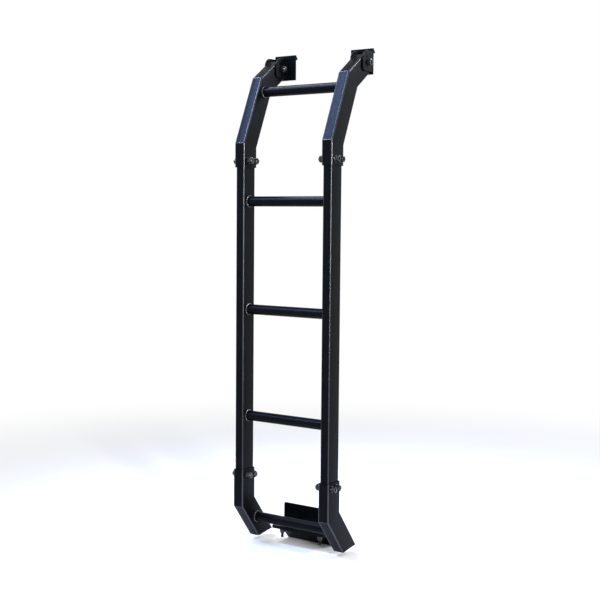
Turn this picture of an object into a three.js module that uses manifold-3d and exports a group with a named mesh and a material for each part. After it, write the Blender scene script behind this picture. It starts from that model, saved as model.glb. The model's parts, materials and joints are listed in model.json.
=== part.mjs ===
// A tailgate ladder: five round rungs between two rectangular tube rails, in three bolted sections.
// The top section leans in over the tailgate and hangs on two pivoted hooks, and the bottom section
// tucks under it and carries an adjustable plate that rests on the tailgate's lower edge.
// Millimetres, +Z up, +X to the climber's right, +Y towards the vehicle.
// The origin is on the ground under the middle of the ladder's box.

import * as THREE from 'three';
import * as BufferGeometryUtils from 'three/addons/utils/BufferGeometryUtils.js';
import Module from 'manifold-3d';

// ---- Driving dimensions -------------------------------------------------------------------

const GAP = 0.3;

// Rails. Both sections of tube are centred on RAIL_X and, where they are straight, on RAIL_Y.
const RAIL_X = 142.75;
const RAIL_Y = -75.05;
const INNER_TUBE = { width: 26.4, depth: 50.8, radius: 2.5, wall: 2 };
const OUTER_TUBE = { width: 33, depth: 57.8, radius: 3.5, wall: 3 };
const MAIN_RAIL_Z = [146, 1111];

// Rungs
const RUNG_RADIUS = 14;
const RUNG_WALL = 2;
const MIDDLE_RUNG_Z = [971, 671, 371];
const TOP_RUNG_Z = 1277;
const BOTTOM_RUNG_Z = 73.3;

// Upper section: the centre line of each rail, leaning in by two mitred bends.
const UPPER_SLEEVE_Z = 1064.5;
const UPPER_BEND_Z = 1125.2;
const UPPER_LEAN = THREE.MathUtils.degToRad(23.3);
const UPPER_LEAN_LENGTH = 186.8;
const HEAD_LEAN = THREE.MathUtils.degToRad(54.7);
const HEAD_TOP_Z = 1369.3;
const HEAD_BACK_Y = 82.95;

// Lower section: one mitred bend, and an end cut close to level.
const LOWER_SLEEVE_Z = 218.5;
const LOWER_BEND_Z = 123.5;
const LOWER_LEAN = THREE.MathUtils.degToRad(38.2);
const FOOT_FRONT = { y: -27.05, z: 14 };
const FOOT_BACK = { y: 37.95, z: 22.5 };
const CAP_THICKNESS = 4;

// Screws that lock the sections together: two side by side through each sleeve.
const CLAMP_Z = [1082, 203];
const CLAMP_Y_OFFSET = 11.25;
const CLAMP_RADIUS = 5;
const CLAMP_HEAD = { radius: 8, height: 10, washerRadius: 10, washer: 1.5, socket: 8, socketDepth: 5 };
const CLAMP_NUT = { acrossFlats: 17, height: 8.4 };
const CLAMP_END = 1.2;

// Hooks: a plate with a folded lip, welded to two ears that straddle the rail's head.
const PIVOT = { y: 70.95, z: 1350, radius: 6 };
const PIVOT_HEAD = { radius: 9, height: 8, socket: 8, socketDepth: 4.5 };
const PIVOT_NUT = { acrossFlats: 18, height: 10 };
const PIVOT_END = 1.5;
const EAR_THICKNESS = 4;
const EAR = { front: 39.95, bottom: 1325, shoulder: 1355.5, top: 1381, radius: 12,
  pin: { y: 58.95, z: 1363.2, radius: 3 } };
const HOOK_PLATE = { y: 91.95, thickness: 4, bottom: 1319, top: 1390, inner: 92.5 };
const HOOK_LIP = { reach: 8, drop: 11 };

// Tailgate plate: it slides fore and aft on two screws under a fixed plate on the bottom rung.
const BASE_PLATE = { halfWidth: 88, front: -14.05, back: 20.95, top: 49, thickness: 4 };
const SLIDE_FLANGE = { halfWidth: 88, front: -13.5, thickness: 4 };
const TAILGATE_PLATE = { halfWidth: 77, y: 29.95, thickness: 4, top: 108, corner: 3,
  bend: 25, tip: 52.15 };
const SLIDE_TRAVEL = 8;
const BASE_SCREW = { x: 64, y: 2.95, radius: 4, acrossFlats: 13, headHeight: 5.3, tip: 13.5 };
const BASE_NUT = { acrossFlats: 13, height: 6.5, washerRadius: 8, washer: 1.6 };
const GUSSET = { x: 45, thickness: 5 };

// ---- Materials ----------------------------------------------------------------------------

const finish = (color, roughness, metalness) => () =>
  new THREE.MeshStandardMaterial({ color, roughness, metalness });
const powderCoat = finish(0x17181b, 0.48, 0.0);
const blackSteel = finish(0x1c1d20, 0.38, 0.6);
const capPlastic = finish(0x101113, 0.6, 0.0);

// ---- Solids -------------------------------------------------------------------------------

const wasm = await Module();
wasm.setup();

function solid(geometry) {
  const bare = geometry.clone();
  bare.deleteAttribute('normal');
  bare.deleteAttribute('uv');
  const merged = BufferGeometryUtils.mergeVertices(bare, 1e-4);
  return new wasm.Manifold(new wasm.Mesh({
    numProp: 3,
    vertProperties: new Float32Array(merged.attributes.position.array),
    triVerts: new Uint32Array(merged.index.array),
  }));
}

function geometryOf(manifold) {
  const { vertProperties, triVerts } = manifold.getMesh();
  const geometry = new THREE.BufferGeometry();
  geometry.setAttribute('position', new THREE.BufferAttribute(new Float32Array(vertProperties), 3));
  geometry.setIndex(new THREE.BufferAttribute(new Uint32Array(triVerts), 1));
  geometry.computeVertexNormals();
  return geometry;
}

function cut(base, ...tools) {
  return tools.reduce((left, tool) => left.subtract(solid(tool)), solid(base));
}

const ladder = new THREE.Group();

function add(name, shape, material) {
  const geometry = shape.isBufferGeometry ? shape : geometryOf(shape);
  const mesh = new THREE.Mesh(geometry, material());
  mesh.name = name;
  ladder.add(mesh);
  return mesh;
}

// A box between two corners.
function block(x, y, z) {
  const geometry = new THREE.BoxGeometry(x[1] - x[0], y[1] - y[0], z[1] - z[0]);
  return geometry.translate((x[0] + x[1]) / 2, (y[0] + y[1]) / 2, (z[0] + z[1]) / 2);
}

// A cylinder or prism along X from x0 to x1. With 6 sides it is a hexagon.
function rodX(radius, x0, x1, y, z, sides = 16) {
  const geometry = new THREE.CylinderGeometry(radius, radius, Math.abs(x1 - x0), sides);
  return geometry.rotateZ(Math.PI / 2).translate((x0 + x1) / 2, y, z);
}

function rodZ(radius, z0, z1, x, y, sides = 16) {
  const geometry = new THREE.CylinderGeometry(radius, radius, Math.abs(z1 - z0), sides);
  return geometry.rotateX(Math.PI / 2).translate(x, y, (z0 + z1) / 2);
}

const hexRadius = (acrossFlats) => acrossFlats / Math.sqrt(3);

// An outline of [y, z] points carried along X.
function slabX(shape, x0, x1, options = {}) {
  const depth = Math.abs(x1 - x0);
  const settings = { depth, bevelEnabled: false, curveSegments: 6, ...options };
  const geometry = new THREE.ExtrudeGeometry(shape, settings);
  const axes = new THREE.Matrix4().makeBasis(
    new THREE.Vector3(0, 1, 0), new THREE.Vector3(0, 0, 1), new THREE.Vector3(1, 0, 0));
  return geometry.applyMatrix4(axes).translate(Math.min(x0, x1), 0, 0);
}

const outline = (points) => new THREE.Shape(points.map(([y, z]) => new THREE.Vector2(y, z)));

// ---- Tubes --------------------------------------------------------------------------------

// A rounded rectangle centred on the origin.
function roundedRectangle(width, depth, radius) {
  const x = width / 2;
  const y = depth / 2;
  const shape = new THREE.Shape();
  shape.moveTo(-x + radius, -y);
  shape.lineTo(x - radius, -y);
  shape.absarc(x - radius, -y + radius, radius, -Math.PI / 2, 0);
  shape.lineTo(x, y - radius);
  shape.absarc(x - radius, y - radius, radius, 0, Math.PI / 2);
  shape.lineTo(-x + radius, y);
  shape.absarc(-x + radius, y - radius, radius, Math.PI / 2, Math.PI);
  shape.lineTo(-x, -y + radius);
  shape.absarc(-x + radius, -y + radius, radius, Math.PI, Math.PI * 1.5);
  return shape;
}

// A straight upright rectangular tube.
function straightTube({ width, depth, radius, wall }, x, z) {
  const shape = roundedRectangle(width, depth, radius);
  shape.holes.push(roundedRectangle(width - 2 * wall, depth - 2 * wall, radius - wall));
  const geometry = new THREE.ExtrudeGeometry(shape, {
    depth: z[1] - z[0], bevelEnabled: false, curveSegments: 3,
  });
  return geometry.translate(x, RAIL_Y, z[0]);
}

// Moves a [y, z] line sideways by a distance, keeping its mitred corners.
function offsetLine(points, distance) {
  const headings = points.slice(1).map(([y, z], i) => Math.atan2(y - points[i][0], z - points[i][1]));
  return points.map(([y, z], i) => {
    const before = headings[Math.max(i - 1, 0)];
    const after = headings[Math.min(i, headings.length - 1)];
    const middle = (before + after) / 2;
    const reach = distance / Math.cos((after - before) / 2);
    return [y + reach * Math.cos(middle), z - reach * Math.sin(middle)];
  });
}

// A solid bar with rounded long edges, swept along a line of straight stretches in the YZ plane.
function bentBar(line, width, depth, radius, x) {
  const sides = [...offsetLine(line, depth / 2), ...offsetLine(line, -depth / 2).reverse()];
  return slabX(outline(sides), x - width / 2 + radius, x + width / 2 - radius, {
    bevelEnabled: true,
    bevelThickness: radius,
    bevelSize: radius,
    bevelOffset: -radius,
    bevelSegments: 3,
  });
}

// The hollow bar, and the plug that fills its bore with a gap all round.
function bentTube(line, { width, depth, radius, wall }, x) {
  const bore = bentBar(line, width - 2 * wall, depth - 2 * wall, radius - wall, x);
  return cut(bentBar(line, width, depth, radius, x), bore);
}

function borePlug(line, { width, depth, radius, wall }, x) {
  const inset = wall + GAP;
  return solid(bentBar(line, width - 2 * inset, depth - 2 * inset, radius - wall, x));
}

// The rails run past both ends here, and each section's own cuts give them their length.
const OVERRUN = 60;

function upperLine() {
  const shoulder = [
    RAIL_Y + UPPER_LEAN_LENGTH * Math.sin(UPPER_LEAN),
    UPPER_BEND_Z + UPPER_LEAN_LENGTH * Math.cos(UPPER_LEAN),
  ];
  const headLength = 190;
  return [
    [RAIL_Y, UPPER_SLEEVE_Z - OVERRUN],
    [RAIL_Y, UPPER_BEND_Z],
    shoulder,
    [shoulder[0] + headLength * Math.sin(HEAD_LEAN), shoulder[1] + headLength * Math.cos(HEAD_LEAN)],
  ];
}

function lowerLine() {
  const footLength = 230;
  return [
    [RAIL_Y + footLength * Math.sin(LOWER_LEAN), LOWER_BEND_Z - footLength * Math.cos(LOWER_LEAN)],
    [RAIL_Y, LOWER_BEND_Z],
    [RAIL_Y, LOWER_SLEEVE_Z + OVERRUN],
  ];
}

// ---- Sections -----------------------------------------------------------------------------

const FAR = 400;
const allX = [-FAR, FAR];
const clampHoles = (z, x) => [-1, 1].map((end) =>
  rodX(CLAMP_RADIUS + GAP, x - FAR / 4, x + FAR / 4, RAIL_Y + end * CLAMP_Y_OFFSET, z));

function addMainRail(side, name) {
  const x = side * RAIL_X;
  const tube = straightTube(INNER_TUBE, x, MAIN_RAIL_Z);
  const holes = CLAMP_Z.flatMap((z) => clampHoles(z, x));
  add(`main_rail_${name}`, cut(tube, ...holes), powderCoat);
}

// Everything above the head's level top cut or behind its upright back cut, moved in by inset.
const aboveHead = (inset) => block(allX, [-FAR, FAR], [HEAD_TOP_Z - inset, HEAD_TOP_Z + FAR]);
const behindHead = (inset) => block(allX, [HEAD_BACK_Y - inset, FAR], [0, HEAD_TOP_Z + FAR]);

function addUpperRail(side, name) {
  const x = side * RAIL_X;
  const line = upperLine();
  const trims = [
    block(allX, [-FAR, FAR], [0, UPPER_SLEEVE_Z]),
    aboveHead(0),
    behindHead(0),
    rodX(PIVOT.radius + GAP, x - FAR / 4, x + FAR / 4, PIVOT.y, PIVOT.z),
    ...clampHoles(CLAMP_Z[0], x),
  ];
  const rail = trims.reduce((left, tool) => left.subtract(solid(tool)), bentTube(line, OUTER_TUBE, x));
  add(`upper_rail_${name}`, rail, powderCoat);

  const corner = solid(aboveHead(CAP_THICKNESS)).add(solid(behindHead(CAP_THICKNESS)));
  const cap = borePlug(line, OUTER_TUBE, x).intersect(corner)
    .subtract(solid(aboveHead(0)))
    .subtract(solid(behindHead(0)));
  add(`upper_end_cap_${name}`, cap, capPlastic);
}

// Everything below the foot's sloping cut, raised by inset.
function belowFoot(inset) {
  const slope = (FOOT_BACK.z - FOOT_FRONT.z) / (FOOT_BACK.y - FOOT_FRONT.y);
  const level = (y) => FOOT_FRONT.z + inset + slope * (y - FOOT_FRONT.y);
  return slabX(outline([[-FAR, -FAR], [FAR, -FAR], [FAR, level(FAR)], [-FAR, level(-FAR)]]), -FAR, FAR);
}

function addLowerRail(side, name) {
  const x = side * RAIL_X;
  const line = lowerLine();
  const trims = [
    block(allX, [-FAR, FAR], [LOWER_SLEEVE_Z, LOWER_SLEEVE_Z + FAR]),
    belowFoot(0),
    ...clampHoles(CLAMP_Z[1], x),
  ];
  const rail = trims.reduce((left, tool) => left.subtract(solid(tool)), bentTube(line, OUTER_TUBE, x));
  add(`lower_rail_${name}`, rail, powderCoat);

  const cap = borePlug(line, OUTER_TUBE, x)
    .intersect(solid(belowFoot(CAP_THICKNESS)))
    .subtract(solid(belowFoot(0)));
  add(`lower_end_cap_${name}`, cap, capPlastic);
}

// A round rung whose ends stop just short of the rails' inner faces.
function addRung(name, y, z, tube) {
  const half = RAIL_X - tube.width / 2 - GAP;
  const shape = new THREE.Shape();
  shape.absarc(0, 0, RUNG_RADIUS, 0, Math.PI * 2);
  const bore = new THREE.Path();
  bore.absarc(0, 0, RUNG_RADIUS - RUNG_WALL, 0, Math.PI * 2);
  shape.holes.push(bore);
  add(name, slabX(shape, -half, half, { curveSegments: 14 }).translate(0, y, z), powderCoat);
}

const leanY = (z) => RAIL_Y + (z - UPPER_BEND_Z) * Math.tan(UPPER_LEAN);
const footY = (z) => RAIL_Y + (LOWER_BEND_Z - z) * Math.tan(LOWER_LEAN);

// ---- Fasteners ----------------------------------------------------------------------------

// A socket-head screw along X. Its head's underside is at x, and dir points from there to its tip.
function socketScrew(x, dir, y, z, radius, length, head) {
  const top = x - dir * head.height;
  const body = solid(rodX(head.radius, x, top, y, z))
    .add(solid(rodX(radius, x - dir, x + dir * length, y, z)));
  const socket = rodX(hexRadius(head.socket), top - dir, top + dir * head.socketDepth, y, z, 6);
  return body.subtract(solid(socket));
}

function hexNut(x0, x1, y, z, acrossFlats, bore) {
  return cut(rodX(hexRadius(acrossFlats), x0, x1, y, z, 6), rodX(bore, 2 * x0 - x1, 2 * x1 - x0, y, z));
}

function addClampSet(side, sideName, z, level, y, place) {
  const outerFace = side * (RAIL_X + OUTER_TUBE.width / 2);
  const innerFace = side * (RAIL_X - OUTER_TUBE.width / 2);
  const label = `${level}_${sideName}_${place}`;
  const washerFace = outerFace + side * GAP;
  const seat = washerFace + side * CLAMP_HEAD.washer;
  const nutStack = 2 * (CLAMP_NUT.height + GAP);
  const length = CLAMP_HEAD.washer + GAP + OUTER_TUBE.width + nutStack + CLAMP_END;
  const screw = socketScrew(seat, -side, y, z, CLAMP_RADIUS, length, CLAMP_HEAD)
    .add(solid(rodX(CLAMP_HEAD.washerRadius, washerFace, seat, y, z, 24)));
  add(`clamp_screw_${label}`, screw, blackSteel);
  ['clamp_nut', 'clamp_locknut'].forEach((kind, i) => {
    const start = innerFace - side * (GAP + i * (CLAMP_NUT.height + GAP));
    const end = start - side * CLAMP_NUT.height;
    const nut = hexNut(start, end, y, z, CLAMP_NUT.acrossFlats, CLAMP_RADIUS + GAP);
    add(`${kind}_${label}`, nut, blackSteel);
  });
}

// ---- Hooks --------------------------------------------------------------------------------

function earShape() {
  const { front, bottom, shoulder, top, radius, pin } = EAR;
  const back = HOOK_PLATE.y - GAP;
  const shape = new THREE.Shape();
  shape.moveTo(back, bottom);
  shape.lineTo(front + radius, bottom);
  shape.absarc(front + radius, bottom + radius, radius, Math.PI * 1.5, Math.PI, true);
  shape.lineTo(front, shoulder);
  shape.quadraticCurveTo(front + 1, top - 10, front + 12, top - 3.5);
  shape.quadraticCurveTo(front + 17, top - 1, front + 24, top - 0.5);
  shape.lineTo(back, top);
  for (const [y, z, radius] of [[PIVOT.y, PIVOT.z, PIVOT.radius + GAP], [pin.y, pin.z, pin.radius]]) {
    const hole = new THREE.Path();
    hole.absarc(y, z, radius, 0, Math.PI * 2);
    shape.holes.push(hole);
  }
  return shape;
}

// The plate and its lip: one strip folded back and down along the top.
function hookShape() {
  const { y, thickness, bottom, top } = HOOK_PLATE;
  const { reach, drop } = HOOK_LIP;
  const back = y + thickness;
  const tip = [back + reach, top - drop];
  const slope = Math.atan2(drop, reach);
  const inner = [tip[0] - thickness * Math.sin(slope), tip[1] - thickness * Math.cos(slope)];
  const crease = inner[1] + (inner[0] - back) * Math.tan(slope);
  return outline([
    [y, bottom], [back, bottom], [back, crease], inner, tip, [back, top], [y + 1, top], [y, top - 1],
  ]);
}

function addHook(side, name) {
  const outer = side * (RAIL_X + OUTER_TUBE.width / 2 + GAP + EAR_THICKNESS);
  const inner = side * (RAIL_X - OUTER_TUBE.width / 2 - GAP - EAR_THICKNESS);
  add(`hook_ear_outer_${name}`, slabX(earShape(), outer - side * EAR_THICKNESS, outer), powderCoat);
  add(`hook_ear_inner_${name}`, slabX(earShape(), inner, inner + side * EAR_THICKNESS), powderCoat);
  add(`hook_plate_${name}`, slabX(hookShape(), side * HOOK_PLATE.inner, outer), powderCoat);

  const length = Math.abs(outer - inner) + 2 * GAP + PIVOT_NUT.height + PIVOT_END;
  const seat = outer + side * GAP;
  const screw = socketScrew(seat, -side, PIVOT.y, PIVOT.z, PIVOT.radius, length, PIVOT_HEAD);
  add(`pivot_screw_${name}`, screw, blackSteel);
  const nutSeat = inner - side * GAP;
  const nut = hexNut(nutSeat, nutSeat - side * PIVOT_NUT.height, PIVOT.y, PIVOT.z,
    PIVOT_NUT.acrossFlats, PIVOT.radius + GAP);
  add(`pivot_nut_${name}`, nut, blackSteel);
}

// ---- Tailgate plate -----------------------------------------------------------------------

const baseBottom = BASE_PLATE.top - BASE_PLATE.thickness;
const flangeTop = baseBottom - GAP;
const flangeBottom = flangeTop - SLIDE_FLANGE.thickness;

function addBasePlate() {
  const { halfWidth, front, back, top, thickness } = BASE_PLATE;
  const plate = block([-halfWidth, halfWidth], [front, back], [top - thickness, top]);
  const holes = [-1, 1].map((side) =>
    rodZ(BASE_SCREW.radius + GAP, 0, FAR, side * BASE_SCREW.x, BASE_SCREW.y));
  add('base_plate', cut(plate, ...holes), powderCoat);
}

// A web welded between the bottom rung's back and the base plate.
function addGusset(side, name) {
  const y = footY(BOTTOM_RUNG_Z);
  const foot = BASE_PLATE.top + GAP;
  const shape = outline([
    [BASE_PLATE.front + 2, foot],
    [BASE_PLATE.back - 2, foot],
    [BASE_PLATE.back - 2, foot + 6],
    [y + RUNG_RADIUS + 2, BOTTOM_RUNG_Z + 7],
    [y, BOTTOM_RUNG_Z],
    [y + 6, BOTTOM_RUNG_Z - RUNG_RADIUS + 2],
  ]);
  const x = side * GUSSET.x;
  const web = cut(slabX(shape, x - GUSSET.thickness / 2, x + GUSSET.thickness / 2),
    rodX(RUNG_RADIUS + GAP, x - 10, x + 10, y, BOTTOM_RUNG_Z, 56));
  add(`gusset_${name}`, web, powderCoat);
}

// The upright plate with its slotted flange, as one welded piece.
// Upright where it meets the vehicle, with its lower edge bent back and down to the ground level.
function bentPlate() {
  const { halfWidth, y, thickness, top, corner, bend, tip } = TAILGATE_PLATE;
  const slope = new THREE.Vector2(tip - y, -bend).normalize();
  const back = new THREE.Vector2(-slope.y, slope.x).multiplyScalar(thickness);
  const backBend = bend + back.y + slope.y * (thickness - back.x) / slope.x;
  const profile = outline([
    [y, top], [y, bend], [tip, 0], [tip + back.x, back.y],
    [y + thickness, backBend], [y + thickness, top],
  ]);
  const face = new THREE.Shape([
    [-halfWidth, -1], [halfWidth, -1], [halfWidth, top - corner], [halfWidth - corner, top],
    [-halfWidth + corner, top], [-halfWidth, top - corner],
  ].map(([u, v]) => new THREE.Vector2(u, v)));
  const limits = new THREE.ExtrudeGeometry(face, { depth: FAR, bevelEnabled: false })
    .rotateX(Math.PI / 2)
    .translate(0, FAR / 2, 0);
  return solid(slabX(profile, -halfWidth, halfWidth)).intersect(solid(limits));
}

function addTailgatePlate() {
  const { y } = TAILGATE_PLATE;
  const flange = block([-SLIDE_FLANGE.halfWidth, SLIDE_FLANGE.halfWidth],
    [SLIDE_FLANGE.front, y + 1], [flangeBottom, flangeTop]);
  const slots = [-1, 1].flatMap((side) => {
    const x = side * BASE_SCREW.x;
    const radius = BASE_SCREW.radius + GAP;
    const ends = [BASE_SCREW.y - SLIDE_TRAVEL, BASE_SCREW.y + SLIDE_TRAVEL];
    const z = [flangeBottom - 5, flangeTop + 5];
    return [
      block([x - radius, x + radius], ends, z),
      ...ends.map((end) => rodZ(radius, z[0], z[1], x, end)),
    ];
  });
  const plate = slots.reduce((left, tool) => left.subtract(solid(tool)),
    bentPlate().add(solid(flange)));
  add('tailgate_plate', plate, powderCoat);
}

function addBaseScrew(side, name) {
  const { y, radius, acrossFlats, headHeight, tip } = BASE_SCREW;
  const x = side * BASE_SCREW.x;
  const seat = BASE_PLATE.top + GAP;
  const screw = solid(rodZ(hexRadius(acrossFlats), seat, seat + headHeight, x, y, 6))
    .add(solid(rodZ(radius, tip, seat + 1, x, y)));
  add(`base_screw_${name}`, screw, blackSteel);

  const bore = solid(rodZ(radius + GAP, -FAR, FAR, x, y));
  const hex = hexRadius(BASE_NUT.acrossFlats);
  const washerTop = flangeBottom - GAP;
  const nutTop = washerTop - BASE_NUT.washer;
  const nutBottom = nutTop - BASE_NUT.height;
  const nut = solid(rodZ(BASE_NUT.washerRadius, nutTop - 1, washerTop, x, y, 20))
    .add(solid(rodZ(hex, nutBottom, nutTop, x, y, 6)));
  add(`base_nut_${name}`, nut.subtract(bore), blackSteel);

  const lockTop = nutBottom - GAP;
  const locknut = solid(rodZ(hex, lockTop - BASE_NUT.height, lockTop, x, y, 6));
  add(`base_locknut_${name}`, locknut.subtract(bore), blackSteel);
}

// ---- Assembly -----------------------------------------------------------------------------

for (const [side, name] of [[-1, 'left'], [1, 'right']]) {
  addUpperRail(side, name);
  addMainRail(side, name);
  addLowerRail(side, name);
  addHook(side, name);
  addGusset(side, name);
  addBaseScrew(side, name);
  CLAMP_Z.forEach((z, i) => {
    const level = ['upper', 'lower'][i];
    addClampSet(side, name, z, level, RAIL_Y - CLAMP_Y_OFFSET, 'front');
    addClampSet(side, name, z, level, RAIL_Y + CLAMP_Y_OFFSET, 'back');
  });
}
addRung('top_rung', leanY(TOP_RUNG_Z), TOP_RUNG_Z, OUTER_TUBE);
MIDDLE_RUNG_Z.forEach((z, i) => addRung(`rung_${i + 2}`, RAIL_Y, z, INNER_TUBE));
addRung('bottom_rung', footY(BOTTOM_RUNG_Z), BOTTOM_RUNG_Z, OUTER_TUBE);
addBasePlate();
addTailgatePlate();

export default ladder;
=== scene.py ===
"""A black powder-coated ladder that hangs on a vehicle's tailgate, in a pale studio.

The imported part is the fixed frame. Each piece here stands for one of its nodes in finer
detail, or is a weld bead on them. Sizes are in millimetres in the row's frame: +Z up,
+X right, +Y to the vehicle.
"""

import json
import math

import bmesh
import bpy
from mathutils import Matrix, Vector


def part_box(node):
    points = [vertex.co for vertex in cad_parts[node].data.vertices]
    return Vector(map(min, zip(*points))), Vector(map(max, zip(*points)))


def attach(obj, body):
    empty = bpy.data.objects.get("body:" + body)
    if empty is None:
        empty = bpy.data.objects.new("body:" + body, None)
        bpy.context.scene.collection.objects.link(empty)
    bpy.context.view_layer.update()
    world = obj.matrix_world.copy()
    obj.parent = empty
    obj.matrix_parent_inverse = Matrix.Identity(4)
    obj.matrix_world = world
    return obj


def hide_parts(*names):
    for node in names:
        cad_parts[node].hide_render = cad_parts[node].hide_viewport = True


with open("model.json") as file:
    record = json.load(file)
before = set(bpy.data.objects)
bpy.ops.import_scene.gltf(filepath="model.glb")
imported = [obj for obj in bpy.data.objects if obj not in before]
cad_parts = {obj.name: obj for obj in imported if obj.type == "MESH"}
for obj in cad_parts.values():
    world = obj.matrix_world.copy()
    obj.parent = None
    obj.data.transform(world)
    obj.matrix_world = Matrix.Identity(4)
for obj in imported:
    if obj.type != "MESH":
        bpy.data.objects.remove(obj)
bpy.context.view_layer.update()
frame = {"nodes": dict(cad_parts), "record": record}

MM = 0.001
SIDES = {"left": -1, "right": 1}
ACROSS = Vector((1, 0, 0))
UP = Vector((0, 0, 1))

# ---- Camera -------------------------------------------------------------------------------

CAMERA_PLACE = Vector((1712.4, -2549.15, 931.1)) * MM
CAMERA_YAW = math.radians(34.012)
CAMERA_PITCH = math.radians(-4.333)
CAMERA_ROLL = math.radians(0.489)
CAMERA_LENS = 66.31


def make_camera():
    data = bpy.data.cameras.new("camera")
    data.lens = CAMERA_LENS
    data.sensor_width = 36
    data.clip_start = 0.05
    data.clip_end = 60
    camera = bpy.data.objects.new("camera", data)
    bpy.context.scene.collection.objects.link(camera)
    turn = (
        Matrix.Rotation(CAMERA_YAW, 4, "Z")
        @ Matrix.Rotation(math.pi / 2 + CAMERA_PITCH, 4, "X")
        @ Matrix.Rotation(CAMERA_ROLL, 4, "Z")
    )
    camera.matrix_world = Matrix.Translation(CAMERA_PLACE) @ turn
    bpy.context.scene.camera = camera


make_camera()

# ---- Driving dimensions, as in the part ---------------------------------------------------


def middle(node):
    """The centre of a node's box, in millimetres."""
    low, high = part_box(node)
    return (low + high) / (2 * MM)


def size(node):
    low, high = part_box(node)
    return (high - low) / MM


MAIN_TUBE = {"width": size("main_rail_right").x, "depth": size("main_rail_right").y,
             "radius": 2.5, "wall": 2}
SLEEVE = {"width": size("upper_rail_right").x, "depth": 57.8, "radius": 3.5, "wall": 3}
RAIL_X = middle("main_rail_right").x
RAIL_Y = middle("main_rail_right").y

UPPER_BEND_Z = 1125.2
UPPER_LEAN = math.radians(23.3)
UPPER_LEAN_LENGTH = 186.8
HEAD_LEAN = math.radians(54.7)
LOWER_BEND_Z = 123.5
LOWER_LEAN = math.radians(38.2)
FOOT_FRONT = Vector((0, -27.05, 14))
FOOT_BACK = Vector((0, 37.95, 22.5))
FOOT_PLATE_FRONT = 29.95
FLANGE_THICKNESS = 4
FLANGE_SEAM_REACH = 75
GAP = 0.3

CLAMP_HEAD = {"radius": 8, "height": 10, "washer": 1.5, "washer_radius": 10, "socket": 8}
CLAMP_NUT_FLATS = 17
PIVOT_HEAD = {"radius": 9, "height": 8, "washer": 0, "washer_radius": 9, "socket": 8}
PIVOT_NUT_FLATS = 18
BASE_FLATS = 13

# ---- Materials ----------------------------------------------------------------------------


def principled(name, **values):
    material = bpy.data.materials.new(name)
    material.use_nodes = True
    shader = material.node_tree.nodes["Principled BSDF"]
    for socket, value in values.items():
        shader.inputs[socket.replace("_", " ")].default_value = value
    return material, material.node_tree, shader


def noise_texture(tree, scale, detail=2.0, roughness=0.5):
    """Noise in the object's own coordinates, with scale in features per metre."""
    place = tree.nodes.new("ShaderNodeTexCoord")
    texture = tree.nodes.new("ShaderNodeTexNoise")
    texture.inputs["Scale"].default_value = scale
    texture.inputs["Detail"].default_value = detail
    texture.inputs["Roughness"].default_value = roughness
    tree.links.new(place.outputs["Object"], texture.inputs["Vector"])
    return texture.outputs["Fac"]


def ramp(tree, factor, low, high, start=0.3, end=0.7):
    """A colour ramp between two colours, or two greys given as numbers."""
    node = tree.nodes.new("ShaderNodeValToRGB")
    colours = [c if isinstance(c, tuple) else (c, c, c) for c in (low, high)]
    for element, colour, position in zip(node.color_ramp.elements, colours, (start, end)):
        element.color = (*colour, 1)
        element.position = position
    tree.links.new(factor, node.inputs["Fac"])
    return node.outputs["Color"]


def bump(tree, shader, height, distance, strength=1.0, under=None):
    node = tree.nodes.new("ShaderNodeBump")
    node.inputs["Strength"].default_value = strength
    node.inputs["Distance"].default_value = distance
    tree.links.new(height, node.inputs["Height"])
    if under is not None:
        tree.links.new(under.outputs["Normal"], node.inputs["Normal"])
    tree.links.new(node.outputs["Normal"], shader.inputs["Normal"])
    return node


def powder_coat():
    """Satin black powder coat: a faint orange peel with a finer grain on it."""
    material, tree, shader = principled("powder_coat", Specular_IOR_Level=0.055,
                                        Specular_Tint=(0.78, 0.87, 1, 1))
    tint = ramp(tree, noise_texture(tree, 35), (0.0010, 0.0012, 0.0017), (0.0018, 0.0022, 0.0030))
    tree.links.new(tint, shader.inputs["Base Color"])
    gloss = ramp(tree, noise_texture(tree, 140, 3), 0.30, 0.38)
    tree.links.new(gloss, shader.inputs["Roughness"])
    peel = bump(tree, shader, noise_texture(tree, 420, 1), 0.00008)
    bump(tree, shader, noise_texture(tree, 2600, 2), 0.00003, under=peel)
    return material


def edge_coat():
    """The powder coat where it runs thin and smooth over the corners of a tube."""
    material, tree, shader = principled("edge_coat", Specular_IOR_Level=0.65,
                                        Specular_Tint=(0.85, 0.92, 1, 1))
    tint = ramp(tree, noise_texture(tree, 35), (0.003, 0.0032, 0.004), (0.005, 0.0054, 0.0066))
    tree.links.new(tint, shader.inputs["Base Color"])
    gloss = ramp(tree, noise_texture(tree, 140, 3), 0.26, 0.34)
    tree.links.new(gloss, shader.inputs["Roughness"])
    bump(tree, shader, noise_texture(tree, 420, 1), 0.00004)
    return material


def black_steel():
    """Blackened fasteners: half metal, with oily patches."""
    material, tree, shader = principled("black_steel", Metallic=0.5, Specular_IOR_Level=0.6)
    tint = ramp(tree, noise_texture(tree, 400, 4), (0.008, 0.0084, 0.010), (0.040, 0.041, 0.045))
    tree.links.new(tint, shader.inputs["Base Color"])
    gloss = ramp(tree, noise_texture(tree, 700, 3), 0.13, 0.24)
    tree.links.new(gloss, shader.inputs["Roughness"])
    bump(tree, shader, noise_texture(tree, 3000, 2), 0.00002)
    return material


def weld_coat():
    """The same powder coat, pooled glossier over the weld beads."""
    material, tree, shader = principled("weld_coat", Specular_IOR_Level=0.9)
    tint = ramp(tree, noise_texture(tree, 300), (0.004, 0.0042, 0.005), (0.009, 0.0094, 0.011))
    tree.links.new(tint, shader.inputs["Base Color"])
    gloss = ramp(tree, noise_texture(tree, 500, 3), 0.14, 0.24)
    tree.links.new(gloss, shader.inputs["Roughness"])
    bump(tree, shader, noise_texture(tree, 1500, 2), 0.00006)
    return material


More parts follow.
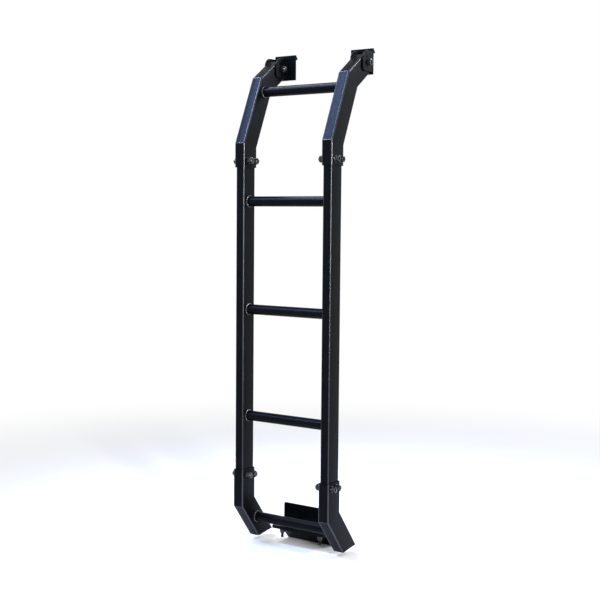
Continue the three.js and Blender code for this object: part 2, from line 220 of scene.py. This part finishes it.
def cap_plastic():
    """Moulded plastic with a fine spark-eroded texture."""
    material, tree, shader = principled("cap_plastic", Specular_IOR_Level=0.18)
    tint = ramp(tree, noise_texture(tree, 60), (0.003, 0.003, 0.0033), (0.006, 0.006, 0.0064))
    tree.links.new(tint, shader.inputs["Base Color"])
    gloss = ramp(tree, noise_texture(tree, 900, 3), 0.5, 0.66)
    tree.links.new(gloss, shader.inputs["Roughness"])
    bump(tree, shader, noise_texture(tree, 2200, 3), 0.00006)
    return material


COAT = powder_coat()
EDGE = edge_coat()
STEEL = black_steel()
WELD = weld_coat()
PLASTIC = cap_plastic()

# ---- Making pieces ------------------------------------------------------------------------

SMOOTH_ANGLE = math.radians(40)


def bodies_of_nodes():
    bodies = frame["record"]["behaviour"]["bodies"]
    return {node: body for body, nodes in bodies.items() for node in nodes}


BODY = bodies_of_nodes()


def finish_piece(name, mesh, material, body, nodes=()):
    """Links a mesh in metres as a piece of the object, in place of the given CAD nodes."""
    mesh.polygons.foreach_set("use_smooth", [True] * len(mesh.polygons))
    mesh.set_sharp_from_angle(angle=SMOOTH_ANGLE)
    mesh.materials.append(material)
    piece = bpy.data.objects.new(name, mesh)
    bpy.context.scene.collection.objects.link(piece)
    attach(piece, body)
    if nodes:
        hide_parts(*nodes)
    return piece


def solid_mesh(name, points, faces):
    """A mesh from points in millimetres, with doubled points joined and faces turned outwards."""
    mesh = bpy.data.meshes.new(name)
    mesh.from_pydata([Vector(p) * MM for p in points], [], faces)
    work = bmesh.new()
    work.from_mesh(mesh)
    bmesh.ops.remove_doubles(work, verts=work.verts, dist=1e-6)
    bmesh.ops.dissolve_degenerate(work, edges=work.edges, dist=1e-7)
    bmesh.ops.recalc_face_normals(work, faces=work.faces)
    work.to_mesh(mesh)
    work.free()
    return mesh


def bridge(first, second, count, closed=True):
    """Faces between two rows of points that start at the two given numbers."""
    last = count if closed else count - 1
    return [
        (first + i, first + (i + 1) % count, second + (i + 1) % count, second + i)
        for i in range(last)
    ]


def refined(node, material, width=0.6, segments=2):
    """A CAD node's own shape with its edges rounded."""
    source = frame["nodes"][node].data
    mesh = bpy.data.meshes.new(f"fine_{node}")
    work = bmesh.new()
    work.from_mesh(source)
    bmesh.ops.remove_doubles(work, verts=work.verts, dist=1e-6)
    bmesh.ops.dissolve_limit(
        work, angle_limit=math.radians(1), verts=work.verts, edges=work.edges)
    work.to_mesh(mesh)
    work.free()
    piece = finish_piece(f"fine_{node}", mesh, material, BODY[node], [node])
    rounding = piece.modifiers.new("rounding", "BEVEL")
    rounding.width = width * MM
    rounding.segments = segments
    rounding.limit_method = "ANGLE"
    rounding.angle_limit = math.radians(35)
    rounding.harden_normals = True
    return piece


# ---- Box tubes ----------------------------------------------------------------------------


def box_section(width, depth, radius, creases=(), arc=7):
    """(across, through) points round a rounded rectangle, with extra points on its two sides."""
    x, y = width / 2 - radius, depth / 2 - radius
    points = []
    for corner, (cx, cy) in enumerate([(x, -y), (x, y), (-x, y), (-x, -y)]):
        start = math.pi / 2 * (corner - 1)
        for step in range(arc + 1):
            angle = start + math.pi / 2 * step / arc
            points.append((cx + radius * math.cos(angle), cy + radius * math.sin(angle)))
        if corner == 0:
            points += [(width / 2, v) for v in sorted(creases)]
        if corner == 2:
            points += [(-width / 2, v) for v in sorted(creases, reverse=True)]
    return points


def headings(line):
    return [(b - a).normalized() for a, b in zip(line, line[1:])]


def carried(section, start, heading, planes, pick):
    """The section's points, slid along a heading until they meet the nearest or furthest plane."""
    through = ACROSS.cross(heading) * -1
    ring = []
    for across, depth in section:
        point = start + ACROSS * across + through * depth
        reach = pick((place - point).dot(normal) / heading.dot(normal) for place, normal in planes)
        ring.append(point + heading * reach)
    return ring


def mitre(line, index):
    """The plane that two stretches share at a bend."""
    before, after = headings(line)[index - 1:index + 1]
    return [(line[index], (before + after).normalized())]


BEND_SOFTNESS = 1.6
CORNER_SLOPES = 0.1, 0.99
PAST_THE_CUT = 100


def swept_rings(section, line, first_planes, last_planes):
    """Rings along a line, three at each bend, so that only a narrow strip of it is shaded round."""
    directions = headings(line)
    rings = [carried(section, line[0], directions[0], first_planes, max)]
    for index in range(1, len(line) - 1):
        ring = carried(section, line[index], directions[index], mitre(line, index), min)
        rings.append([point - directions[index - 1] * BEND_SOFTNESS for point in ring])
        rings.append(ring)
        rings.append([point + directions[index] * BEND_SOFTNESS for point in ring])
    rings.append(carried(section, line[-2], directions[-1], last_planes, min))
    return rings


def box_tube(name, tube, line, first_planes, last_planes, crease_at=None):
    """A hollow box tube along a line, cut by the planes at its two ends."""
    width, depth, radius, wall = (tube[k] for k in ("width", "depth", "radius", "wall"))
    creases = []
    if crease_at is not None:
        heading = headings(line)[-1]
        creases = [(crease_at - line[-2]).dot(ACROSS.cross(heading) * -1)]
    outer = box_section(width, depth, radius, creases)
    inner = box_section(width - 2 * wall, depth - 2 * wall, radius - wall, creases)
    outer_rings = swept_rings(outer, line, first_planes, last_planes)
    inner_rings = swept_rings(inner, line, first_planes, last_planes)
    count = len(outer)
    points = [p for ring in outer_rings + inner_rings for p in ring]
    rings = len(outer_rings)
    faces = []
    for skin in (0, rings * count):
        for i in range(rings - 1):
            faces += bridge(skin + i * count, skin + (i + 1) * count, count)
    for end in (0, (rings - 1) * count):
        faces += bridge(end, end + rings * count, count)
    mesh = solid_mesh(name, points, faces)
    node = name.removeprefix("fine_")
    piece = finish_piece(name, mesh, COAT, BODY[node], [node])
    mesh.materials.append(EDGE)
    flattest, steepest = CORNER_SLOPES
    for face in mesh.polygons:
        if flattest < abs(face.normal.x) < steepest:
            face.material_index = 1
    return piece


def level(z):
    return (Vector((0, 0, z)), UP)


def upper_line(x):
    bend = Vector((x, RAIL_Y, UPPER_BEND_Z))
    lean = Vector((0, math.sin(UPPER_LEAN), math.cos(UPPER_LEAN)))
    head = Vector((0, math.sin(HEAD_LEAN), math.cos(HEAD_LEAN)))
    shoulder = bend + lean * UPPER_LEAN_LENGTH
    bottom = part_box("upper_rail_right")[0].z / MM
    return [Vector((x, RAIL_Y, bottom)), bend, shoulder, shoulder + head * PAST_THE_CUT]


def lower_line(x):
    bend = Vector((x, RAIL_Y, LOWER_BEND_Z))
    lean = Vector((0, math.sin(LOWER_LEAN), -math.cos(LOWER_LEAN)))
    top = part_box("lower_rail_right")[1].z / MM
    return [Vector((x, RAIL_Y, top)), bend, bend + lean * PAST_THE_CUT]


def foot_plane():
    slope = FOOT_BACK - FOOT_FRONT
    return (FOOT_FRONT, ACROSS.cross(slope).normalized())


def make_rails():
    upper_low, upper_high = (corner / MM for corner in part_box("upper_rail_right"))
    main_low, main_high = (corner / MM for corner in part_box("main_rail_right"))
    top_corner = Vector((0, upper_high.y, upper_high.z))
    back = (top_corner, Vector((0, 1, 0)))
    for side, sign in SIDES.items():
        x = sign * RAIL_X
        line = upper_line(x)
        box_tube(f"fine_upper_rail_{side}", SLEEVE, line,
                 [level(upper_low.z)], [level(upper_high.z), back], top_corner)
        ends = [Vector((x, RAIL_Y, main_low.z)), Vector((x, RAIL_Y, main_high.z))]
        box_tube(f"fine_main_rail_{side}", MAIN_TUBE, ends,
                 [level(main_low.z)], [level(main_high.z)])
        line = lower_line(x)
        box_tube(f"fine_lower_rail_{side}", SLEEVE, line, [(line[0], -UP)], [foot_plane()])
        for end in ("upper", "lower"):
            refined(f"{end}_end_cap_{side}", PLASTIC, 0.5)


# ---- Weld beads ---------------------------------------------------------------------------

BEAD_STEP = 0.75
BEAD_SIDES = 8
BEAD_PITCH = 3.6
MITRE_BEAD, RUNG_BEAD, HOOK_BEAD, FLANGE_BEAD = 0.7, 2.5, 1.4, 1.8


def resampled(path, step):
    """Even steps along a path of points."""
    lengths = [(b - a).length for a, b in zip(path, path[1:])]
    total = sum(lengths)
    count = max(3, round(total / step))
    points = []
    for i in range(count + 1):
        along = total * i / count
        for (a, b), length in zip(zip(path, path[1:]), lengths):
            if along <= length or b is path[-1]:
                points.append(a.lerp(b, min(1, along / length) if length else 0))
                break
            along -= length
    return points, total / count


def bead(name, path, radius, body, closed=False, material=WELD):
    """A weld bead along a path, with a ripple for each dab of the torch."""
    if closed:
        path = [*path, path[0]]
    points, step = resampled(path, BEAD_STEP)
    if closed:
        points = points[:-1]
    count = len(points)
    rings = []
    for i, point in enumerate(points):
        ahead = points[(i + 1) % count if closed else min(i + 1, count - 1)]
        behind = points[i - 1 if closed else max(i - 1, 0)]
        heading = (ahead - behind).normalized()
        side = heading.orthogonal().normalized()
        if rings:
            side = (last_side - heading * last_side.dot(heading)).normalized()
        last_side = side
        other = heading.cross(side)
        ripple = 1 + 0.17 * math.cos(2 * math.pi * i * step / BEAD_PITCH) + 0.07 * math.sin(i * 0.9)
        if not closed:
            ripple *= min(1, 0.45 + min(i, count - 1 - i) * step / radius * 0.4)
        for k in range(BEAD_SIDES):
            angle = 2 * math.pi * k / BEAD_SIDES
            out = side * math.cos(angle) + other * math.sin(angle)
            rings.append(point + out * radius * ripple)
    faces = []
    for i in range(count - 1):
        faces += bridge(i * BEAD_SIDES, (i + 1) * BEAD_SIDES, BEAD_SIDES)
    if closed:
        twist = closing_twist(rings, count)
        last = (count - 1) * BEAD_SIDES
        faces += [
            (last + k, last + (k + 1) % BEAD_SIDES,
             (k + 1 + twist) % BEAD_SIDES, (k + twist) % BEAD_SIDES)
            for k in range(BEAD_SIDES)
        ]
    else:
        faces.append(tuple(range(BEAD_SIDES)))
        faces.append(tuple(range((count - 1) * BEAD_SIDES, count * BEAD_SIDES)))
    return finish_piece(name, solid_mesh(name, rings, faces), material, body)


def closing_twist(rings, count):
    """How many points the first ring is turned from the last, so that a closed bead joins up."""
    last = rings[(count - 1) * BEAD_SIDES]
    return min(range(BEAD_SIDES), key=lambda k: (rings[k] - last).length)


def make_mitre_welds():
    """A dressed bead across the front of each bend in the rails."""
    reach = SLEEVE["width"] / 2 - SLEEVE["radius"]
    across = [reach * (step / 6 - 1) for step in range(13)]
    for side, sign in SIDES.items():
        lines = {"upper": upper_line(sign * RAIL_X), "lower": lower_line(sign * RAIL_X)}
        for level_name, line in lines.items():
            front = SLEEVE["depth"] / 2 * (1 if level_name == "lower" else -1)
            for index in range(1, len(line) - 1):
                heading = headings(line)[index]
                path = carried([(u, front) for u in across], line[index], heading,
                               mitre(line, index), min)
                bead(f"mitre_weld_{level_name}_{side}_{index}", path, MITRE_BEAD, "ladder")


def circle(centre, radius, normal, count=72):
    side = normal.orthogonal().normalized()
    other = normal.cross(side)
    turns = [2 * math.pi * i / count for i in range(count)]
    return [centre + (side * math.cos(t) + other * math.sin(t)) * radius for t in turns]


# ---- Rungs --------------------------------------------------------------------------------

RUNGS = ("top_rung", "rung_2", "rung_3", "rung_4", "bottom_rung")
RUNG_WALL = 2


def spun(name, profile_at, segments, place, axis):
    """A mesh turned about an axis. profile_at(turn) gives its (radius, height) points at a turn."""
    side = axis.orthogonal().normalized()
    other = axis.cross(side)
    points = []
    for i in range(segments):
        turn = 2 * math.pi * i / segments
        out = side * math.cos(turn) + other * math.sin(turn)
        profile = profile_at(turn)
        points += [place + out * radius + axis * height for radius, height in profile]
    count = len(profile)
    faces = []
    for i in range(segments):
        here, there = i * count, (i + 1) % segments * count
        faces += bridge(here, there, count)
    return solid_mesh(name, points, faces)


def make_rungs():
    for rung in RUNGS:
        centre = middle(rung)
        half = size(rung).x / 2
        radius = size(rung).z / 2
        inner = radius - RUNG_WALL
        profile = [(inner, -half), (radius, -half), (radius, half), (inner, half)]
        mesh = spun(f"fine_{rung}", lambda turn: profile, 64, centre, ACROSS)
        finish_piece(f"fine_{rung}", mesh, COAT, "ladder", [rung])
        for side, sign in SIDES.items():
            ring = circle(centre + ACROSS * sign * (half - 0.4), radius + 0.3, ACROSS)
            bead(f"weld_{rung}_{side}", ring, RUNG_BEAD, "ladder", closed=True)


# ---- Fasteners ----------------------------------------------------------------------------


def hexagon(turn, flats):
    """The radius of a hexagon at a turn, from its width across flats."""
    within = (turn + math.pi / 6) % (math.pi / 3) - math.pi / 6
    return flats / 2 / math.cos(within)


def chamfered_hex(turn, flats, low, high, top=True):
    """(radius, height) points up the outside of a hexagon whose corners are turned off."""
    edge = hexagon(turn, flats)
    turned = flats * 0.475
    round_off = (edge - turned) * math.tan(math.radians(30))
    points = [(turned, low), (edge, low + round_off)]
    if top:
        points += [(edge, high - round_off), (turned, high)]
    else:
        points.append((edge, high))
    return points


def nut(name, flats, bore, node, axis, collar=0.0):
    """A nut in a node's place. A collar is the rounded neck that holds a lock nut's insert."""
    height = abs(size(node).dot(axis))
    start = middle(node) - axis * height / 2
    body_height = height - collar

    def profile(turn):
        outside = chamfered_hex(turn, flats, 0, body_height)
        if collar:
            neck = flats * 0.43
            outside += [(neck, body_height), (neck, height - collar * 0.4),
                        (neck - collar * 0.35, height - 0.1), (bore + 1.2, height)]
            return [(bore, 0.5), (bore + 0.7, 0), *outside, (bore + 0.3, height - 0.3)]
        return [(bore, 0.6), (bore + 0.7, 0), *outside,
                (bore + 0.7, height), (bore, height - 0.6)]

    mesh = spun(name, profile, 72, start, axis)
    return finish_piece(name, mesh, STEEL, BODY[node], [node])


def thread(turn, radius, start, end, pitch):
    """(radius, height) points along a screw thread at one turn."""
    steps = max(2, round((end - start) / pitch * 6))
    points = []
    for i in range(steps + 1):
        height = start + (end - start) * i / steps
        wave = (height / pitch - turn / (2 * math.pi)) % 1
        cut = pitch * 0.5 * abs(2 * wave - 1)
        near_end = min(1, (end - height) / pitch)
        points.append((radius - cut - 0.6 * (1 - near_end), height))
    return points


def socket_screw(name, node, axis, head, radius, threads):
    """A socket-head screw on a washer. axis points from its head to its tip, in a node's place."""
    length = abs(size(node).dot(axis))
    top = middle(node) - axis * length / 2
    seat = head["height"]
    washer = seat + head["washer"]
    knurl_low, knurl_high = 1.6, seat - 1.2

    def profile(turn):
        socket = hexagon(turn, head["socket"])
        grip = head["radius"] - 0.25 * (1 + math.cos(turn * 36)) / 2
        points = [
            (0, 5.2), (socket * 0.6, 4.8), (socket, 4.6), (socket, 0.5), (socket + 0.5, 0),
            (head["radius"] - 1.1, 0), (head["radius"] - 0.35, 0.35), (head["radius"], 1.1),
            (grip, knurl_low), (grip, knurl_high), (head["radius"], knurl_high + 0.5),
            (head["radius"] - 0.2, seat),
        ]
        if head["washer"]:
            edge = head["washer_radius"]
            points += [(edge - 0.3, seat), (edge, seat + 0.3), (edge, washer - 0.3),
                       (edge - 0.3, washer)]
        points += [(radius, washer + 0.01)]
        points += thread(turn, radius, length - threads, length, 1.5)
        return [*points, (0, length)]

    mesh = spun(name, profile, 144, top, axis)
    return finish_piece(name, mesh, STEEL, BODY[node], [node])


def hex_screw(name, node, flats, radius, threads):
    """An upright hexagon-head screw, head up, in a node's place."""
    length = size(node).z
    top = middle(node) + UP * length / 2
    head = 5.3

    def profile(turn):
        outside = chamfered_hex(turn, flats, 0, head, top=False)
        points = [(0, 0), *outside, (radius, head + 0.01)]
        points += thread(turn, radius, length - threads, length, 1.25)
        return [*points, (0, length)]

    mesh = spun(name, profile, 72, top, -UP)
    return finish_piece(name, mesh, STEEL, BODY[node], [node])


def make_clamps():
    for side, sign in SIDES.items():
        inward = ACROSS * -sign
        for place in (f"{z}_{side}_{y}" for z in ("upper", "lower") for y in ("front", "back")):
            socket_screw(f"fine_clamp_screw_{place}", f"clamp_screw_{place}", inward,
                         CLAMP_HEAD, 5, 6)
            nut(f"fine_clamp_nut_{place}", CLAMP_NUT_FLATS, 5, f"clamp_nut_{place}", inward)
            nut(f"fine_clamp_locknut_{place}", CLAMP_NUT_FLATS, 5, f"clamp_locknut_{place}",
                inward, collar=2.4)


# ---- Hooks and the foot plate -------------------------------------------------------------


def make_hooks():
    for side, sign in SIDES.items():
        body = f"hook_{side}"
        inward = ACROSS * -sign
        refined(f"hook_plate_{side}", COAT, 0.7, 3)
        plate_edge = abs(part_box(f"hook_plate_{side}")[sign > 0].x / MM)
        for ear in ("outer", "inner"):
            node = f"hook_ear_{ear}_{side}"
            refined(node, COAT, 0.7, 3)
            low, high = (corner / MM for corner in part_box(node))
            for face in (low.x, high.x):
                out = -1 if face == low.x else 1
                at_plate = Vector((face + out * 0.2, high.y - 0.2, 0))
                path = [at_plate + UP * (low.z + 3), at_plate + UP * (high.z - 3)]
                # A face at the plate's outer edge has no room for a bead beside it.
                if abs(face) < plate_edge - 2:
                    bead(f"weld_{node}_{'a' if out < 0 else 'b'}", path, HOOK_BEAD, body,
                         material=COAT)
        socket_screw(f"fine_pivot_screw_{side}", f"pivot_screw_{side}", inward, PIVOT_HEAD, 6, 8)
        nut(f"fine_pivot_nut_{side}", PIVOT_NUT_FLATS, 6, f"pivot_nut_{side}", inward, collar=3)


def make_foot_plate():
    refined("base_plate", COAT, 0.6, 2)
    refined("tailgate_plate", COAT, 0.7, 3)
    for side in SIDES:
        refined(f"gusset_{side}", COAT, 0.5, 2)
        hex_screw(f"fine_base_screw_{side}", f"base_screw_{side}", BASE_FLATS, 4, 20)
        refined(f"base_nut_{side}", STEEL, 0.4, 2)
        nut(f"fine_base_locknut_{side}", BASE_FLATS, 4, f"base_locknut_{side}", -UP, collar=1.8)
    flange_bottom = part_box("base_plate")[0].z / MM - GAP - FLANGE_THICKNESS
    ends = (-FLANGE_SEAM_REACH, FLANGE_SEAM_REACH)
    seam = [Vector((x, FOOT_PLATE_FRONT, flange_bottom)) for x in ends]
    bead("weld_flange", seam, FLANGE_BEAD, "foot_plate")


# ---- Studio -------------------------------------------------------------------------------

FLOOR_RADIUS = 4.5
SWEEP_RADIUS = 2.0
SWEEP_STEPS = 12
WALL_HEIGHT = 6.0
GLOW_STARTS, GLOW_FULL = 0.9, 2.6


def backdrop_material():
    """White paper under the object, going over to an evenly lit wall."""
    material, tree, shader = principled("paper", Roughness=0.9, Specular_IOR_Level=0.1)
    shader.inputs["Base Color"].default_value = (0.86, 0.86, 0.865, 1)
    glow = tree.nodes.new("ShaderNodeEmission")
    glow.inputs["Color"].default_value = (1, 1, 1, 1)
    glow.inputs["Strength"].default_value = 1.0
    place = tree.nodes.new("ShaderNodeTexCoord")
    distance = tree.nodes.new("ShaderNodeVectorMath")
    distance.operation = "LENGTH"
    tree.links.new(place.outputs["Object"], distance.inputs[0])
    fade = tree.nodes.new("ShaderNodeMapRange")
    fade.interpolation_type = "SMOOTHSTEP"
    fade.inputs["From Min"].default_value = GLOW_STARTS
    fade.inputs["From Max"].default_value = GLOW_FULL
    tree.links.new(distance.outputs["Value"], fade.inputs["Value"])
    mix = tree.nodes.new("ShaderNodeMixShader")
    tree.links.new(fade.outputs["Result"], mix.inputs["Fac"])
    tree.links.new(shader.outputs["BSDF"], mix.inputs[1])
    tree.links.new(glow.outputs["Emission"], mix.inputs[2])
    output = tree.nodes["Material Output"]
    tree.links.new(mix.outputs["Shader"], output.inputs["Surface"])
    return material


def make_backdrop():
    """A round floor that sweeps up into a wall all round."""
    profile = [(0, 0), (FLOOR_RADIUS / 2, 0)]
    for i in range(SWEEP_STEPS + 1):
        turn = math.pi / 2 * i / SWEEP_STEPS
        profile.append((FLOOR_RADIUS + SWEEP_RADIUS * math.sin(turn),
                        SWEEP_RADIUS * (1 - math.cos(turn))))
    profile.append((FLOOR_RADIUS + SWEEP_RADIUS, WALL_HEIGHT))
    count, segments = len(profile), 96
    points = []
    for i in range(segments):
        turn = 2 * math.pi * i / segments
        points += [(r * math.cos(turn), r * math.sin(turn), z) for r, z in profile]
    faces = []
    for i in range(segments):
        faces += bridge(i * count, (i + 1) % segments * count, count, closed=False)
    mesh = bpy.data.meshes.new("backdrop")
    mesh.from_pydata(points, [], faces)
    work = bmesh.new()
    work.from_mesh(mesh)
    bmesh.ops.remove_doubles(work, verts=work.verts, dist=1e-5)
    work.to_mesh(mesh)
    work.free()
    mesh.polygons.foreach_set("use_smooth", [True] * len(mesh.polygons))
    mesh.materials.append(backdrop_material())
    backdrop = bpy.data.objects.new("backdrop", mesh)
    bpy.context.scene.collection.objects.link(backdrop)


def area_light(name, place, target, width, height, power, colour=(1, 1, 1), spread=180):
    """A softbox. A spread below 180 degrees is a grid on its front."""
    data = bpy.data.lights.new(name, "AREA")
    data.shape = "RECTANGLE"
    data.size = width
    data.size_y = height
    data.energy = power
    data.color = colour
    data.spread = math.radians(spread)
    light = bpy.data.objects.new(name, data)
    light.location = place
    light.rotation_mode = "QUATERNION"
    light.rotation_quaternion = (Vector(target) - Vector(place)).to_track_quat("-Z", "Y")
    bpy.context.scene.collection.objects.link(light)


def make_lights():
    world = bpy.data.worlds.new("studio")
    bpy.context.scene.world = world
    world.use_nodes = True
    world.node_tree.nodes["Background"].inputs["Color"].default_value = (0.8, 0.86, 1, 1)
    world.node_tree.nodes["Background"].inputs["Strength"].default_value = 0.3
    top = (0, 0, 1.25)
    cool = (0.42, 0.56, 1)
    area_light("overhead", (0, 0.2, 4.2), (0, 0, 0), 2.2, 2.0, 20, (0.94, 0.97, 1))
    area_light("left_front", (-1.45, -1.6, 3.5), top, 1.1, 1.5, 21, cool, 50)
    area_light("seam", (-1.6, 0.0, 3.7), top, 0.4, 0.4, 6, spread=60)
    area_light("corner", (2.7, -1.85, 1.35), (0, 0, 0.95), 0.4, 1.6, 21, spread=60)
    area_light("right_back", (2.0, 2.7, 2.9), top, 0.9, 1.0, 14, (0.9, 0.95, 1), 60)
    bpy.context.scene.view_settings.view_transform = "Standard"


make_rails()
make_mitre_welds()
make_rungs()
make_clamps()
make_hooks()
make_foot_plate()
make_backdrop()
make_lights()
